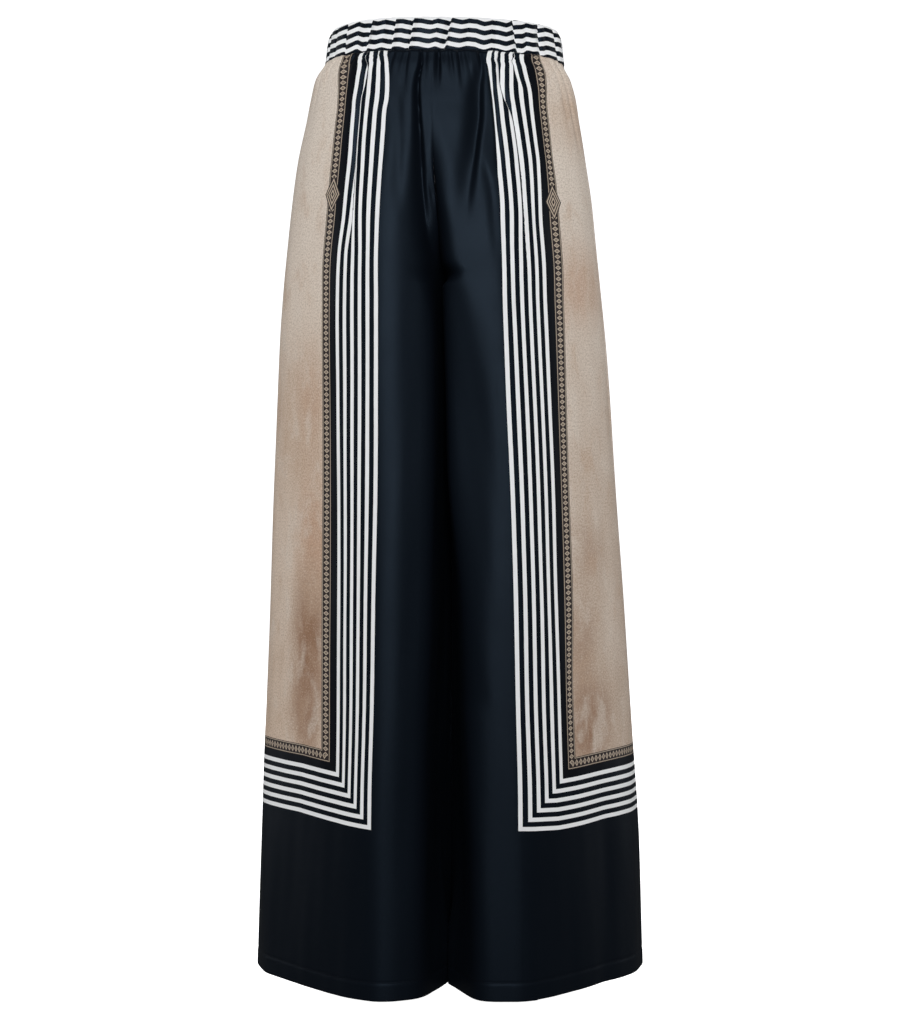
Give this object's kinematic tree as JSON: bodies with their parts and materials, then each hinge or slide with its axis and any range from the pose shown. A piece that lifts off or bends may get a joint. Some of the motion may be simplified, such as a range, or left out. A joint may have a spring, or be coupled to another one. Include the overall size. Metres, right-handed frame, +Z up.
{
  "type": "palazzo pants",
  "caption": "Wide-legged pull-on trousers with a gathered elastic waistband, hanging open and full as if worn.",
  "frame": {"origin": "centre of the waist opening, halfway up the waistband", "axes": "+Z up along the wearer, the front faces -Y, the wearer's left is +X"},
  "size_m": [0.4491, 0.2586, 1.082],
  "materials": {
    "striped_silk": "smooth silk twill with navy and white stripes, gathered",
    "printed_silk": "silk twill with a soft sheen, printed in navy, white and beige"
  },
  "bodies": {
    "root": {"waistband_front": "striped_silk", "waistband_back": "striped_silk", "front_right": "printed_silk", "front_left": "printed_silk", "back_right": "printed_silk", "back_left": "printed_silk"}
  },
  "joints": []
}
